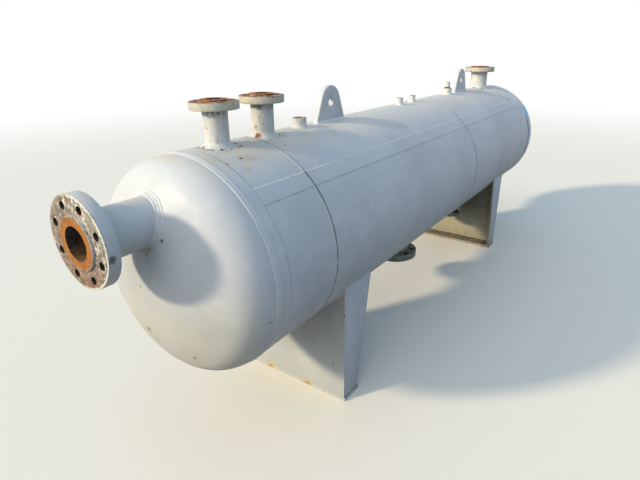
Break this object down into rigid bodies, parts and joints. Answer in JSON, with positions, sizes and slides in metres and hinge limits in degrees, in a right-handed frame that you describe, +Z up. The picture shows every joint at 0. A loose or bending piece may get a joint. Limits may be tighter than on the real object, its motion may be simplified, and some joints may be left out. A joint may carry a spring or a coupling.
{
  "type": "three-phase separator",
  "caption": "Horizontal thick-walled pressure vessel with dished ends, flanged nozzles, lifting lugs and two welded saddles.",
  "frame": {"origin": "on the ground under the middle of the overall length", "axes": "+X from the inlet head to the far head, +Z up, -Y the side with the long seam"},
  "size_m": [3.6504, 0.768, 1.2934],
  "materials": {
    "painted_steel": "grey enamel",
    "weld_metal": "painted weld",
    "rusty_steel": "worn paint over rust"
  },
  "bodies": {
    "root": {"near_course": "painted_steel", "middle_course": "painted_steel", "far_course": "painted_steel", "near_head": "painted_steel", "far_head": "painted_steel", "near_head_weld": "weld_metal", "far_head_weld": "weld_metal", "near_course_weld": "weld_metal", "far_course_weld": "weld_metal", "long_weld": "weld_metal", "inlet_nozzle_weld": "weld_metal", "top_nozzle_1_weld": "weld_metal", "top_nozzle_2_weld": "weld_metal", "top_nozzle_3_weld": "weld_metal", "bottom_nozzle_weld": "weld_metal", "bottom_nozzle_2_weld": "weld_metal", "coupling_1_weld": "weld_metal", "coupling_2_weld": "weld_metal", "coupling_3_weld": "weld_metal", "coupling_4_weld": "weld_metal", "inlet_nozzle": "rusty_steel", "top_nozzle_1": "rusty_steel", "top_nozzle_2": "rusty_steel", "top_nozzle_3": "rusty_steel", "bottom_nozzle": "rusty_steel", "bottom_nozzle_2": "rusty_steel", "coupling_1": "rusty_steel", "coupling_2": "rusty_steel", "coupling_3": "rusty_steel", "coupling_4": "rusty_steel", "coupling_4_plug": "rusty_steel", "lug_1": "painted_steel", "lug_2": "painted_steel", "near_saddle_web": "painted_steel", "near_saddle_ribs": "painted_steel", "near_saddle_base": "painted_steel", "far_saddle_web": "painted_steel", "far_saddle_ribs": "painted_steel", "far_saddle_base": "painted_steel"}
  },
  "joints": []
}
